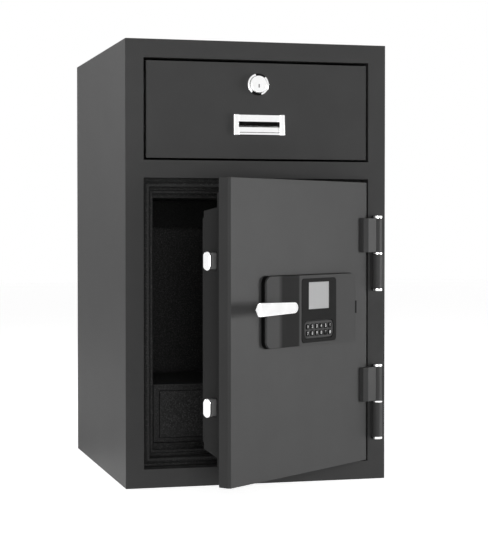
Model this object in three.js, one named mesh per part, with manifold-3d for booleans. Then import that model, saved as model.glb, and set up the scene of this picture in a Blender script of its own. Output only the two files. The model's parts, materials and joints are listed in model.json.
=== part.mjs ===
// Free-standing deposit safe with a front-loading drawer above a hinged, electronically locked door.
// Millimetres, +Z up. The origin is the centre of the underside, and the door side faces -Y.
// Parts are drawn in a frame whose y = 0 is the front face of the body and whose y grows to the back.
// The door's parts are drawn closed, and its group then swings them open by DOOR_SWING.

import * as THREE from 'three';
import { mergeVertices } from 'three/addons/utils/BufferGeometryUtils.js';
import Module from 'manifold-3d';

const wasm = await Module();
wasm.setup();

// ---------- driving dimensions ----------

const WIDTH = 578;
const DEPTH = 642;
const HEIGHT = 950;
const GAP = 0.3; // left between pieces that rest on each other
const SKIN = 3; // casing sheet
const SHEET = 2.5; // liner sheet
const FRONT_PLATE = 4;
const COLLAR_DEPTH = 30;
const CASING_SPARE = 0.4; // between the casing sheet and what it holds
const OPENING_HALF = 250; // both openings are this wide each side of the middle
const DOORWAY = { low: 40.2, high: 657.6 };
const DRAWER_HOLE = { low: 695.2, high: 911 };

// stepped jamb behind the doorway: each step is further in than the one before
const JAMB_INSET = 19;
const JAMB_BACK = 60;
const LIP_INSET = 32;
const LIP_BACK = 66;
const JAMB_TOP = 689.3;

// compartment behind the door
const ROOM = { half: 208, front: 110, back: 562, low: 80, high: 617 };
const BOLT_CHANNEL_HALF = 246;
const FLANGE = 1.9;
const CHANNEL_SPARE = 1.3; // between the liner's flange and the channel's floor and ceiling

// chute between the drawer compartment and the room below
const CHUTE = { half: 155, front: 430, back: 540 };
const CHUTE_WALL = 2.4;
const BAFFLE = 2; // sheet of both baffles

// sloping plate hung below the chute; its measures are taken from the chute's front and the ceiling
const CHUTE_BAFFLE = { flange: 28, bend: 3, reach: 74, drop: 62, wider: 8 };
// toothed plate hung in the drawer compartment
const DRAWER_BAFFLE = { half: 222, front: 300, back: 326, low: 848, teeth: 16, toothTall: 14 };

const DOOR_SWING = THREE.MathUtils.degToRad(38);
const HINGE = { x: 266, y: -14, pin: 5, bore: 5.4, knuckle: 10.8, cap: 12 };
const HINGE_LOWS = { upper: 413.8, lower: 89.8 };
const CAP_TALL = 5.2;
const KNUCKLE_TALL = 74.6;
const WASHER_TALL = 3.8;
// outlines of the hinge arms in (x, y), from the plate they sit on out to the knuckle
const FRAME_ARM = [[257, -GAP], [257, -4], [261, -8], [266, -8], [272, -8], [286, -4], [286, -GAP]];
const DOOR_ARM = [[219, -GAP], [219, -9.5], [228.5, -16.2], [256, -18.6], [266, -8], [262, -GAP]];

const DOOR = { left: -244, right: 247, low: 45, high: 650, plate: 27 };
const DOOR_BEVEL = { wide: 3.5, deep: 5.5, right: 2 };
const STEP_INSET = 29;
const STEP_BACK = 54;
const PAN = { left: -191, right: 194, low: 84.3, high: 596.5, back: 107, wall: 3 };
const PAN_TAPER = { left: 1, right: 12, low: 24, high: 10.8 };
const COVER = { back: 110.3, drop: 14, edge: 2 };

const BOLT = { middle: 83.5, tip: -212, cap: 5, root: -150.3 };
const BOLT_NOSE = { high: 37.6, thick: 18.6, radius: 9, chamfer: 1.5 };
const BOLT_SHANK = { high: 33.4, thick: 16, radius: 3 };
const BOLT_HEIGHTS = { upper: 486, lower: 193.5 };
const BOLT_THROW = 20;
const BOLT_GUIDE = { left: -176, right: -171, front: 66, back: 102, half: 27, spare: 0.7 };
const BAR = { left: -150, right: -138, front: 74, back: 94, low: 172.5, high: 507 };
const RACK = { low: 406.2, high: 416.2, right: -52, back: 84, notch: 10, notchDepth: 8 };
const PLUNGER = { x: -80, y: 79, radius: 4, bore: 4.6, low: 419, high: 450, boreTop: 460 };
const SOLENOID = { left: -104, right: -56, front: 64, back: 94, low: 430, high: 476 };

const LEVER = { x: -98.5, z: 393, neck: 8.5, neckBack: -20, spindle: 6, spindleBack: 92, pinion: 12.2 };
const LEVER_FACE = { front: -52, back: -41, hubHalf: 11.2, endHalf: 13.9, tip: -217, corner: 3 };

const PANEL = { left: -142, right: 181, low: 310, high: 456, corner: 15 };
const PANEL_LOW_FACE = -13;
const PANEL_HIGH_FACE = -18;
const PANEL_ROUNDING = { left: 2, right: 5 };
const RAMP = { left: -90, right: -38, run: 18 };
const PANEL_SLOT = { x: 175.5, z: 383, wide: 7, tall: 27, deep: 5 };
const BEZEL = { left: -27, right: 99, low: 316.5, high: 448, corner: 8 };
const SCREEN = { left: -2, right: 72, low: 384.5, high: 440.5 };
const BEZEL_FRONT = PANEL_HIGH_FACE - 0.8;
const BEZEL_BACK = PANEL_HIGH_FACE + 1.4;
const KEY_WELL = { left: -18.5, right: 88, low: 323.5, high: 361.5, corner: 12, floor: -12.4 };
const KEY = {
  firstX: -6.4, topZ: 349, pitchX: 16.24, pitchZ: 14, wide: 13.2, tall: 10.6, corner: 3,
  front: PANEL_HIGH_FACE - 1.4, back: PANEL_HIGH_FACE + 3.8,
};
const KEY_COLUMNS = 6;
const KEY_ROWS = 2;

const DRAWER = { half: 244.3, low: 699.7, high: 904.5, thick: 22 };
const TRAY = { half: 235.5, back: 425, low: 712, high: 838, wall: 1.5, floor: 2, hem: 8 };
const TRAY_FLOOR = { front: 738, back: 714 }; // the floor falls towards the chute
const RAIL = { front: 40, back: 425 };
// the three nested members of each drawer slide: web and lips are measured from the middle of the drawer
const SLIDE_OUTER = { web: 249.7, lip: 242, low: 745, high: 781, wall: 2 };
const SLIDE_MIDDLE = { web: 247.1, lip: 241.1, low: 748, high: 778, wall: 1.5 };
const SLIDE_INNER = { web: 244.1, lip: 235.9, low: 751, high: 775, wall: 1.5 };
const PULL = { x: 2.1, half: 56.6, low: 750, high: 794.5, proud: 5, deep: 17.7 };
const PULL_MOUTH = { half: 45.5, low: 756.3, high: 779, roof: 789, back: 15, rise: 15 };
const KEY_LOCK = { x: 0, z: 859, flange: 23.5, flangeFront: -3.6, body: 20, back: 21 };
const BARREL = { radius: 18.9, front: -9, chamfer: 2, stem: 4, slotBack: -2 };
const CAM = { front: 23, back: 26, reach: 62, half: 6, hub: 10, bore: 4.4 };
const STRIKE = { left: -10, right: 48, front: 21.5, top: 926 };

const LOCKER = { left: -205, right: -3, front: 118, back: 400, low: 80.3, high: 208, sheet: 2 };
const LOCKER_MOUTH = { left: -192, right: -16, low: 90, high: 194 };
const LOCKER_DOOR = { front: 117.3, sheet: 2.5, deep: 5, edge: 12, lockSide: 34 };
const LOCKER_LOCK = { x: -33, radius: 9, front: 113.5, back: 130, tongueFront: 123.5, tongueTall: 24 };

// ---------- materials ----------

function finish(color, roughness, metalness) {
  return () => new THREE.MeshStandardMaterial({ color, roughness, metalness, flatShading: true });
}

const paint = finish(0x3f3f40, 0.55, 0.2);
const doorPaint = finish(0x4a4a4b, 0.5, 0.2);
const innerPaint = finish(0x1c1c1d, 0.7, 0.1);
const concrete = finish(0x6d6a64, 0.9, 0);
const chrome = finish(0xe8e8ea, 0.12, 1);
const zincSteel = finish(0x9b9da0, 0.4, 0.9);
const panelPlastic = finish(0x4b4b4c, 0.5, 0);
const blackPlastic = finish(0x161617, 0.35, 0);
const screenGrey = finish(0xb4b6b8, 0.25, 0);
const keyRubber = finish(0x0e0e0f, 0.6, 0);

// ---------- solids ----------

function toSolid(geometry) {
  const bare = geometry.clone();
  bare.deleteAttribute('normal');
  bare.deleteAttribute('uv');
  const merged = mergeVertices(bare, 1e-4);
  return new wasm.Manifold(new wasm.Mesh({
    numProp: 3,
    vertProperties: new Float32Array(merged.attributes.position.array),
    triVerts: new Uint32Array(merged.index.array),
  }));
}

function toGeometry(solid) {
  const mesh = solid.getMesh();
  const geometry = new THREE.BufferGeometry();
  geometry.setAttribute('position', new THREE.BufferAttribute(mesh.vertProperties, 3));
  geometry.setIndex(new THREE.BufferAttribute(mesh.triVerts, 1));
  return geometry;
}

function join(first, ...others) {
  return toGeometry(others.reduce((sum, next) => sum.add(toSolid(next)), toSolid(first)));
}

function cut(first, ...tools) {
  return toGeometry(tools.reduce((rest, tool) => rest.subtract(toSolid(tool)), toSolid(first)));
}

function common(first, second) {
  return toGeometry(toSolid(first).intersect(toSolid(second)));
}

// a unit cube whose corners are set to exact values, so that flush faces really are flush
function block(x0, x1, y0, y1, z0, z1) {
  const geometry = new THREE.BoxGeometry(1, 1, 1);
  const position = geometry.attributes.position;
  for (let i = 0; i < position.count; i += 1) {
    const x = position.getX(i) > 0 ? x1 : x0;
    const y = position.getY(i) > 0 ? y1 : y0;
    const z = position.getZ(i) > 0 ? z1 : z0;
    position.setXYZ(i, x, y, z);
  }
  return geometry;
}

// round bar along Y, centred on (x, z)
function barY(radius, y0, y1, x, z, sides = 32) {
  const geometry = new THREE.CylinderGeometry(radius, radius, y1 - y0, sides);
  return geometry.translate(x, (y0 + y1) / 2, z);
}

// CylinderGeometry stands along Y, so the Z bar is turned upright
function barZ(radius, z0, z1, x, y, sides = 32) {
  const geometry = new THREE.CylinderGeometry(radius, radius, z1 - z0, sides);
  return geometry.rotateX(Math.PI / 2).translate(x, y, (z0 + z1) / 2);
}

function outline(points) {
  return new THREE.Shape(points.map(([a, b]) => new THREE.Vector2(a, b)));
}

// shape drawn in (x, y), standing from z0 to z1
function prismZ(shape, z0, z1, curveSegments = 8) {
  const options = { depth: z1 - z0, bevelEnabled: false, curveSegments };
  return new THREE.ExtrudeGeometry(shape, options).translate(0, 0, z0);
}

// shape drawn in (x, z), lying from y0 to y1
function prismY(shape, y0, y1, curveSegments = 6) {
  const options = { depth: y1 - y0, bevelEnabled: false, curveSegments };
  return new THREE.ExtrudeGeometry(shape, options).rotateX(Math.PI / 2).translate(0, y1, 0);
}

// shape drawn in (y, z), running from x0 to x1
function prismX(shape, x0, x1, curveSegments = 5) {
  const options = { depth: x1 - x0, bevelEnabled: false, curveSegments };
  const geometry = new THREE.ExtrudeGeometry(shape, options);
  return geometry.rotateX(Math.PI / 2).rotateZ(Math.PI / 2).translate(x0, 0, 0);
}

function roundedRectangle(a0, a1, b0, b1, r) {
  const shape = new THREE.Shape();
  shape.absarc(a1 - r, b0 + r, r, -Math.PI / 2, 0);
  shape.absarc(a1 - r, b1 - r, r, 0, Math.PI / 2);
  shape.absarc(a0 + r, b1 - r, r, Math.PI / 2, Math.PI);
  shape.absarc(a0 + r, b0 + r, r, Math.PI, Math.PI * 1.5);
  return shape;
}

// box between two rectangles { left, right, low, high }: near is at y0 and far is at y1
function loftedBlock(near, y0, far, y1) {
  const geometry = new THREE.BoxGeometry(1, 1, 1);
  const position = geometry.attributes.position;
  for (let i = 0; i < position.count; i += 1) {
    const end = position.getY(i) > 0 ? far : near;
    const x = position.getX(i) > 0 ? end.right : end.left;
    const z = position.getZ(i) > 0 ? end.high : end.low;
    position.setXYZ(i, x, position.getY(i) > 0 ? y1 : y0, z);
  }
  return geometry;
}

function place(group, name, geometry, makeMaterial) {
  const mesh = new THREE.Mesh(geometry, makeMaterial());
  mesh.name = name;
  group.add(mesh);
}

// ---------- body ----------

function outerShell() {
  const front = FRONT_PLATE + GAP;
  const outside = block(-WIDTH / 2, WIDTH / 2, front, DEPTH, 0, HEIGHT);
  const half = WIDTH / 2 - SKIN;
  return cut(outside, block(-half, half, front - 1, DEPTH - SKIN, SKIN, HEIGHT - SKIN));
}

const CORE = {
  half: WIDTH / 2 - SKIN - CASING_SPARE, back: DEPTH - SKIN - CASING_SPARE, low: SKIN + CASING_SPARE,
  high: HEIGHT - SKIN - CASING_SPARE,
};

function frontFrame() {
  const plate = block(-WIDTH / 2, WIDTH / 2, 0, FRONT_PLATE, 0, HEIGHT);
  const collar = block(-CORE.half, CORE.half, FRONT_PLATE - 0.1, COLLAR_DEPTH, CORE.low, CORE.high);
  const through = COLLAR_DEPTH + 1;
  const doorway = block(-OPENING_HALF, OPENING_HALF, -1, through, DOORWAY.low, DOORWAY.high);
  const drawer = block(-OPENING_HALF, OPENING_HALF, -1, through, DRAWER_HOLE.low, DRAWER_HOLE.high);
  // pocket that the drawer's cam turns up into; it is open at the back of the collar
  const strike = block(STRIKE.left, STRIKE.right, STRIKE.front, through, DRAWER_HOLE.high - 2, STRIKE.top);
  return cut(join(plate, collar), doorway, drawer, strike);
}

function jambRing(front, back, inset) {
  const ring = block(-CORE.half, CORE.half, front, back, CORE.low, JAMB_TOP);
  const half = OPENING_HALF - inset;
  return cut(ring, block(-half, half, front - 1, back + 1, DOORWAY.low + inset, DOORWAY.high - inset));
}

function barrierFill() {
  const whole = block(-CORE.half, CORE.half, COLLAR_DEPTH + GAP, CORE.back, CORE.low, CORE.high);
  const jamb = block(-WIDTH / 2, WIDTH / 2, 0, LIP_BACK + GAP, 0, JAMB_TOP + CASING_SPARE);
  const channelSpare = CHANNEL_SPARE - GAP;
  const channel = block(-BOLT_CHANNEL_HALF - GAP, BOLT_CHANNEL_HALF + GAP, 0, ROOM.front,
    DOORWAY.low + channelSpare, DOORWAY.high - channelSpare);
  const room = block(-ROOM.half - SHEET - GAP, ROOM.half + SHEET + GAP, 0, ROOM.back + SHEET + GAP,
    ROOM.low - SHEET - GAP, ROOM.high + SHEET + GAP);
  const drawer = block(-OPENING_HALF - SHEET - GAP, OPENING_HALF + SHEET + GAP, 0,
    ROOM.back + SHEET + GAP, DRAWER_HOLE.low - SHEET - GAP, DRAWER_HOLE.high + SHEET + GAP);
  const side = CHUTE_WALL + GAP;
  const chute = block(-CHUTE.half - side, CHUTE.half + side, CHUTE.front - side, CHUTE.back + side,
    ROOM.high, DRAWER_HOLE.low);
  return cut(whole, jamb, channel, room, drawer, chute);
}

// hole that the chute needs in a floor or a ceiling
function chuteHole(z0, z1) {
  return block(-CHUTE.half, CHUTE.half, CHUTE.front, CHUTE.back, z0, z1);
}

function innerLiner() {
  const flangeBack = ROOM.front - GAP;
  const flangeFront = flangeBack - FLANGE;
  const outside = block(-ROOM.half - SHEET, ROOM.half + SHEET, flangeBack - 0.1, ROOM.back + SHEET,
    ROOM.low - SHEET, ROOM.high + SHEET);
  const flange = block(-BOLT_CHANNEL_HALF, BOLT_CHANNEL_HALF, flangeFront, flangeBack,
    DOORWAY.low + CHANNEL_SPARE, DOORWAY.high - CHANNEL_SPARE);
  const inside = block(-ROOM.half, ROOM.half, flangeFront - 1, ROOM.back, ROOM.low, ROOM.high);
  return cut(join(outside, flange), inside, chuteHole(ROOM.high - 1, ROOM.high + SHEET + 1));
}

function drawerCompartment() {
  const half = OPENING_HALF;
  const { low, high } = DRAWER_HOLE;
  const outside = block(-half - SHEET, half + SHEET, COLLAR_DEPTH + GAP, ROOM.back + SHEET,
    low - SHEET, high + SHEET);
  const inside = block(-half, half, COLLAR_DEPTH - 1, ROOM.back, low, high);
  const spoutLow = ROOM.high + SHEET + GAP;
  const spout = block(-CHUTE.half - CHUTE_WALL, CHUTE.half + CHUTE_WALL, CHUTE.front - CHUTE_WALL,
    CHUTE.back + CHUTE_WALL, spoutLow, low - SHEET + 0.1);
  return cut(join(outside, spout), inside, chuteHole(spoutLow - 1, low + 1));
}

// triangular notches along the hooked edge of a baffle
function teeth(x0, x1, count, y0, y1, z, tall) {
  const pitch = (x1 - x0) / count;
  const notches = [];
  for (let i = 0; i < count; i += 1) {
    const x = x0 + pitch * i;
    const triangle = outline([[x + 1, z - 1], [x + pitch - 1, z - 1], [x + pitch / 2, z + tall]]);
    notches.push(prismY(triangle, y0, y1));
  }
  return notches;
}

function chuteBaffle() {
  const { flange, bend, reach, drop, wider } = CHUTE_BAFFLE;
  const top = ROOM.high - GAP;
  const front = CHUTE.front - flange;
  const tip = CHUTE.front + reach;
  const profile = outline([
    [front, top], [front, top - BAFFLE], [CHUTE.front - bend, top - BAFFLE], [tip, top - drop],
    [tip + BAFFLE, top - drop + 1.5], [CHUTE.front - bend + 1, top],
  ]);
  return prismX(profile, -CHUTE.half - wider, CHUTE.half + wider);
}

function drawerBaffle() {
  const { half, front, back, low, toothTall } = DRAWER_BAFFLE;
  const top = DRAWER_HOLE.high - GAP;
  const flange = block(-half, half, front, back, top - BAFFLE, top);
  const blade = block(-half, half, front, front + BAFFLE, low, top - 1);
  const notches = teeth(-half, half, DRAWER_BAFFLE.teeth, front - 1, front + BAFFLE + 1, low, toothTall);
  return cut(join(flange, blade), ...notches);
}

// C section that opens towards the middle of the drawer; side is 1 on the right and -1 on the left
function channelRail(side, { web, lip, low, high, wall }) {
  const between = (near, far, z0, z1) => block(Math.min(side * near, side * far),
    Math.max(side * near, side * far), RAIL.front, RAIL.back, z0, z1);
  const edge = web - 0.1;
  return join(between(web - wall, web, low, high), between(lip, edge, low, low + wall),
    between(lip, edge, high - wall, high));
}

function lockerBody() {
  const { left, right, front, back, low, high, sheet } = LOCKER;
  const inside = block(left + sheet, right - sheet, front + sheet, back - sheet, low + sheet, high - sheet);
  const mouth = block(LOCKER_MOUTH.left, LOCKER_MOUTH.right, front - 1, front + sheet + 1,
    LOCKER_MOUTH.low, LOCKER_MOUTH.high);
  return cut(block(left, right, front, back, low, high), inside, mouth);
}

function buildBody() {
  const group = new THREE.Group();
  place(group, 'outer_shell', outerShell(), paint);
  place(group, 'front_frame', frontFrame(), paint);
  place(group, 'jamb_step', jambRing(COLLAR_DEPTH + GAP, JAMB_BACK, JAMB_INSET), innerPaint);
  place(group, 'bolt_lip', jambRing(JAMB_BACK + GAP, LIP_BACK, LIP_INSET), innerPaint);
  place(group, 'barrier_fill', barrierFill(), concrete);
  place(group, 'inner_liner', innerLiner(), innerPaint);
  place(group, 'drawer_compartment', drawerCompartment(), innerPaint);
  place(group, 'chute_baffle', chuteBaffle(), innerPaint);
  place(group, 'drawer_baffle', drawerBaffle(), zincSteel);
  place(group, 'slide_outer_right', channelRail(1, SLIDE_OUTER), zincSteel);
  place(group, 'slide_outer_left', channelRail(-1, SLIDE_OUTER), zincSteel);
  place(group, 'locker_body', lockerBody(), innerPaint);
  return group;
}

// ---------- hinges ----------

// heights of one hinge's stacked pieces, from the lower cap to the upper one
function hingeStack(low) {
  const frameLow = low + CAP_TALL + GAP;
  const washerLow = frameLow + KNUCKLE_TALL + GAP;
  const leafLow = washerLow + WASHER_TALL + GAP;
  const capLow = leafLow + KNUCKLE_TALL + GAP;
  return { low, frameLow, washerLow, leafLow, capLow, high: capLow + CAP_TALL };
}

function knuckle(z0, arm) {
  const z1 = z0 + KNUCKLE_TALL;
  const barrel = barZ(HINGE.knuckle, z0, z1, HINGE.x, HINGE.y, 32);
  const bore = barZ(HINGE.bore, z0 - 1, z1 + 1, HINGE.x, HINGE.y, 24);
  return cut(join(barrel, prismZ(arm, z0, z1)), bore);
}

function frameKnuckle(z0) {
  return knuckle(z0, outline(FRAME_ARM));
}

// thick strap whose free end is bevelled towards the door
function doorLeaf(z0) {
  return knuckle(z0, outline(DOOR_ARM));
}

// riveted pin: both heads are formed on the rod
function hingePin(stack) {
  const { x, y } = HINGE;
  const rod = barZ(HINGE.pin, stack.low + 1, stack.high - 1, x, y, 24);
  const lowerHead = barZ(HINGE.cap, stack.low, stack.low + CAP_TALL, x, y, 32);
  const upperHead = barZ(HINGE.cap, stack.capLow, stack.high, x, y, 32);
  return join(rod, lowerHead, upperHead);
}

function hingeWasher(stack) {
  const ring = barZ(HINGE.cap + 0.4, stack.washerLow, stack.washerLow + WASHER_TALL, HINGE.x, HINGE.y, 32);
  const bore = barZ(HINGE.bore, stack.low, stack.high, HINGE.x, HINGE.y, 24);
  return cut(ring, bore);
}

function buildHinges(bodyGroup, doorGroup) {
  for (const [where, low] of Object.entries(HINGE_LOWS)) {
    const stack = hingeStack(low);
    place(bodyGroup, `hinge_knuckle_${where}`, frameKnuckle(stack.frameLow), paint);
    place(bodyGroup, `hinge_pin_${where}`, hingePin(stack), chrome);
    place(bodyGroup, `hinge_washer_${where}`, hingeWasher(stack), chrome);
    place(doorGroup, `hinge_leaf_${where}`, doorLeaf(stack.leafLow), doorPaint);
  }
}

// ---------- door ----------

function spindleBore(y0, y1) {
  return barY(LEVER.spindle + 0.6, y0, y1, LEVER.x, LEVER.z);
}

function doorPlate() {
  const { left, right, low, high, plate } = DOOR;
  const profile = outline([
    [left + DOOR_BEVEL.wide, 0], [right - DOOR_BEVEL.right, 0], [right, DOOR_BEVEL.right], [right, plate],
    [left, plate], [left, DOOR_BEVEL.deep],
  ]);
  return cut(prismZ(profile, low, high), spindleBore(-1, plate + 1));
}

function doorStep() {
  const { left, right, low, high, plate } = DOOR;
  const slab = block(left + STEP_INSET, right - STEP_INSET, plate + GAP, STEP_BACK,
    low + STEP_INSET, high - STEP_INSET);
  return cut(slab, spindleBore(plate, STEP_BACK + 1));
}

// rounded section in (y, z) about a bolt's axis, grown by spare on every side
function boltSection(z, size, spare) {
  const halfThick = size.thick / 2 + spare;
  const halfHigh = size.high / 2 + spare;
  return roundedRectangle(BOLT.middle - halfThick, BOLT.middle + halfThick, z - halfHigh, z + halfHigh,
    size.radius + spare);
}

// the pan's rectangle at depth y, moved in by inset; the same slopes carry on past both of its ends
function panAt(y, inset) {
  const t = (y - STEP_BACK - GAP) / (PAN.back - STEP_BACK - GAP);
  return {
    left: PAN.left + PAN_TAPER.left * t + inset,
    right: PAN.right - PAN_TAPER.right * t - inset,
    low: PAN.low + PAN_TAPER.low * t + inset,
    high: PAN.high - PAN_TAPER.high * t - inset,
  };
}

function doorPan() {
  const front = STEP_BACK + GAP;
  const past = 2;
  const outside = loftedBlock(panAt(front, 0), front, panAt(PAN.back, 0), PAN.back);
  const inside = loftedBlock(panAt(front - past, PAN.wall), front - past,
    panAt(PAN.back + past, PAN.wall), PAN.back + past);
  const slots = Object.values(BOLT_HEIGHTS).map(
    (z) => prismX(boltSection(z, BOLT_SHANK, 1), PAN.left - 5, PAN.left + 30));
  return cut(outside, inside, ...slots);
}

function doorBackCover() {
  const { left, right, low, high } = panAt(PAN.back, 0);
  const { back, drop, edge } = COVER;
  return block(left, right - edge, PAN.back + GAP, back, low + drop, high - drop);
}

function keyWell() {
  return roundedRectangle(KEY_WELL.left, KEY_WELL.right, KEY_WELL.low, KEY_WELL.high, KEY_WELL.corner);
}

function lockPanel() {
  const profile = new THREE.Shape();
  const rounding = PANEL_ROUNDING;
  profile.moveTo(PANEL.left, -GAP);
  profile.lineTo(PANEL.left, PANEL_LOW_FACE + rounding.left);
  profile.quadraticCurveTo(PANEL.left, PANEL_LOW_FACE, PANEL.left + rounding.left, PANEL_LOW_FACE);
  profile.lineTo(RAMP.left, PANEL_LOW_FACE);
  profile.quadraticCurveTo(RAMP.right - RAMP.run, PANEL_LOW_FACE, RAMP.right, PANEL_HIGH_FACE);
  profile.lineTo(PANEL.right - rounding.right, PANEL_HIGH_FACE);
  profile.quadraticCurveTo(PANEL.right, PANEL_HIGH_FACE, PANEL.right, PANEL_HIGH_FACE + rounding.right);
  profile.lineTo(PANEL.right, -GAP);
  const slab = prismZ(profile, PANEL.low, PANEL.high, 5);
  const before = PANEL_HIGH_FACE - 1;
  const cookie = roundedRectangle(PANEL.left - 1, PANEL.right + 1, PANEL.low, PANEL.high, PANEL.corner);
  const bezel = roundedRectangle(BEZEL.left - GAP, BEZEL.right + GAP, BEZEL.low - GAP, BEZEL.high + GAP,
    BEZEL.corner);
  const { x, z, wide, tall, deep } = PANEL_SLOT;
  const slot = block(x - wide / 2, x + wide / 2, before, PANEL_HIGH_FACE + deep, z - tall / 2, z + tall / 2);
  return cut(common(slab, prismY(cookie, before, 0)), prismY(bezel, before, BEZEL_BACK + GAP),
    prismY(keyWell(), before, KEY_WELL.floor), slot,
    barY(LEVER.neck + 1.2, PANEL_HIGH_FACE - 1, 1, LEVER.x, LEVER.z));
}

function keypadBezel() {
  const edge = roundedRectangle(BEZEL.left, BEZEL.right, BEZEL.low, BEZEL.high, BEZEL.corner);
  const before = BEZEL_FRONT - 1;
  const behind = BEZEL_BACK + 1;
  const screen = block(SCREEN.left, SCREEN.right, before, behind, SCREEN.low, SCREEN.high);
  return cut(prismY(edge, BEZEL_FRONT, BEZEL_BACK), screen, prismY(keyWell(), before, behind));
}

function displayWindow() {
  return block(SCREEN.left + GAP, SCREEN.right - GAP, BEZEL_FRONT + 0.4, BEZEL_BACK, SCREEN.low + GAP,
    SCREEN.high - GAP);
}

function keyCap(column, row) {
  const x = KEY.firstX + KEY.pitchX * column;
  const z = KEY.topZ - KEY.pitchZ * row;
  const shape = roundedRectangle(x - KEY.wide / 2, x + KEY.wide / 2, z - KEY.tall / 2, z + KEY.tall / 2,
    KEY.corner);
  return prismY(shape, KEY.front, KEY.back, 2);
}

function boltGuide(z) {
  const { left, right, front, back, half, spare } = BOLT_GUIDE;
  const frame = block(left, right, front, back, z - half, z + half);
  return cut(frame, prismX(boltSection(z, BOLT_SHANK, spare), left - 4, right + 3));
}

function solenoid() {
  const { left, right, front, back, low, high } = SOLENOID;
  const housing = block(left, right, front, back, low, high);
  return cut(housing, barZ(PLUNGER.bore, low - 1, PLUNGER.boreTop, PLUNGER.x, PLUNGER.y, 24));
}

function solenoidPlunger() {
  return barZ(PLUNGER.radius, PLUNGER.low, PLUNGER.high, PLUNGER.x, PLUNGER.y, 24);
}

function boltBar() {
  const upright = block(BAR.left, BAR.right, BAR.front, BAR.back, BAR.low, BAR.high);
  const rack = block(BAR.right - 1, RACK.right, BAR.front, RACK.back, RACK.low, RACK.high);
  const notch = (x) => block(x - RACK.notch / 2, x + RACK.notch / 2, BAR.front - 1, RACK.back + 1,
    RACK.high - RACK.notchDepth, RACK.high + 1);
  return cut(join(upright, rack), notch(PLUNGER.x), notch(PLUNGER.x + BOLT_THROW));
}

// chamfered stadium nose on a plainer shank
function bolt(z) {
  const { chamfer } = BOLT_NOSE;
  const capEnd = BOLT.tip + BOLT.cap;
  const nose = prismX(boltSection(z, BOLT_NOSE, 0), BOLT.tip, capEnd);
  const halfThick = BOLT_NOSE.thick / 2;
  const bevelled = prismZ(outline([
    [BOLT.tip, BOLT.middle - halfThick + chamfer], [BOLT.tip + chamfer, BOLT.middle - halfThick],
    [capEnd, BOLT.middle - halfThick], [capEnd, BOLT.middle + halfThick],
    [BOLT.tip + chamfer, BOLT.middle + halfThick], [BOLT.tip, BOLT.middle + halfThick - chamfer],
  ]), z - 30, z + 30);
  return join(common(nose, bevelled), prismX(boltSection(z, BOLT_SHANK, 0), capEnd - 1, BOLT.root));
}

// grip that widens from its hub to its squared end
function leverHandle() {
  const { front, back, hubHalf, endHalf, tip, corner } = LEVER_FACE;
  const shape = new THREE.Shape();
  shape.moveTo(LEVER.x, LEVER.z + hubHalf);
  shape.lineTo(tip + corner, LEVER.z + endHalf);
  shape.quadraticCurveTo(tip, LEVER.z + endHalf, tip, LEVER.z + endHalf - corner);
  shape.lineTo(tip, LEVER.z - endHalf + corner);
  shape.quadraticCurveTo(tip, LEVER.z - endHalf, tip + corner, LEVER.z - endHalf);
  shape.lineTo(LEVER.x, LEVER.z - hubHalf);
  shape.absarc(LEVER.x, LEVER.z, hubHalf, -Math.PI / 2, Math.PI / 2);
  const grip = prismY(shape, front, back, 8);
  return join(grip, barY(LEVER.neck, back - 1, LEVER.neckBack, LEVER.x, LEVER.z));
}

function leverSpindle() {
  const rod = barY(LEVER.spindle, LEVER.neckBack + GAP, LEVER.spindleBack, LEVER.x, LEVER.z, 24);
  return join(rod, barY(LEVER.pinion, BAR.front, RACK.back, LEVER.x, LEVER.z));
}

function buildDoor(group) {
  place(group, 'door_plate', doorPlate(), doorPaint);
  place(group, 'door_step', doorStep(), innerPaint);
  place(group, 'door_pan', doorPan(), innerPaint);
  place(group, 'door_back_cover', doorBackCover(), innerPaint);
  place(group, 'lock_panel', lockPanel(), panelPlastic);
  place(group, 'keypad_bezel', keypadBezel(), blackPlastic);
  place(group, 'display_window', displayWindow(), screenGrey);
  place(group, 'solenoid', solenoid(), zincSteel);
  place(group, 'solenoid_plunger', solenoidPlunger(), zincSteel);
  place(group, 'bolt_bar', boltBar(), zincSteel);
  place(group, 'lever_handle', leverHandle(), chrome);
  place(group, 'lever_spindle', leverSpindle(), zincSteel);
  for (const [where, z] of Object.entries(BOLT_HEIGHTS)) {
    place(group, `bolt_${where}`, bolt(z), chrome);
    place(group, `bolt_guide_${where}`, boltGuide(z), zincSteel);
  }
  for (let row = 0; row < KEY_ROWS; row += 1) {
    for (let column = 0; column < KEY_COLUMNS; column += 1) {
      place(group, `key_${row * KEY_COLUMNS + column + 1}`, keyCap(column, row), keyRubber);
    }
  }
}

// ---------- drawer ----------

function drawerFront() {
  const { half, low, high, thick } = DRAWER;
  const recess = block(PULL.x - PULL.half - GAP, PULL.x + PULL.half + GAP, -1, PULL.deep + GAP,
    PULL.low - GAP, PULL.high + GAP);
  return cut(block(-half, half, 0, thick, low, high), recess,
    barY(KEY_LOCK.body + GAP, -1, thick + 1, KEY_LOCK.x, KEY_LOCK.z, 40));
}

function drawerTray() {
  const { half, back, low, high, wall, hem } = TRAY;
  const front = DRAWER.thick + GAP;
  const side = (x) => block(x, x + wall, front, back, low, high);
  const faceplate = block(-half, half, front, front + wall, low, high);
  const slope = outline([
    [front + 0.7, TRAY_FLOOR.front], [front + 0.7, TRAY_FLOOR.front + TRAY.floor],
    [back - 1, TRAY_FLOOR.back + TRAY.floor], [back - 1, TRAY_FLOOR.back],
  ]);
  const turned = (x) => block(x, x + hem, front, back, high - wall, high);
  return join(side(-half), side(half - wall), faceplate, prismX(slope, -half + 0.5, half - 0.5),
    turned(-half), turned(half - hem));
}

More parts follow.
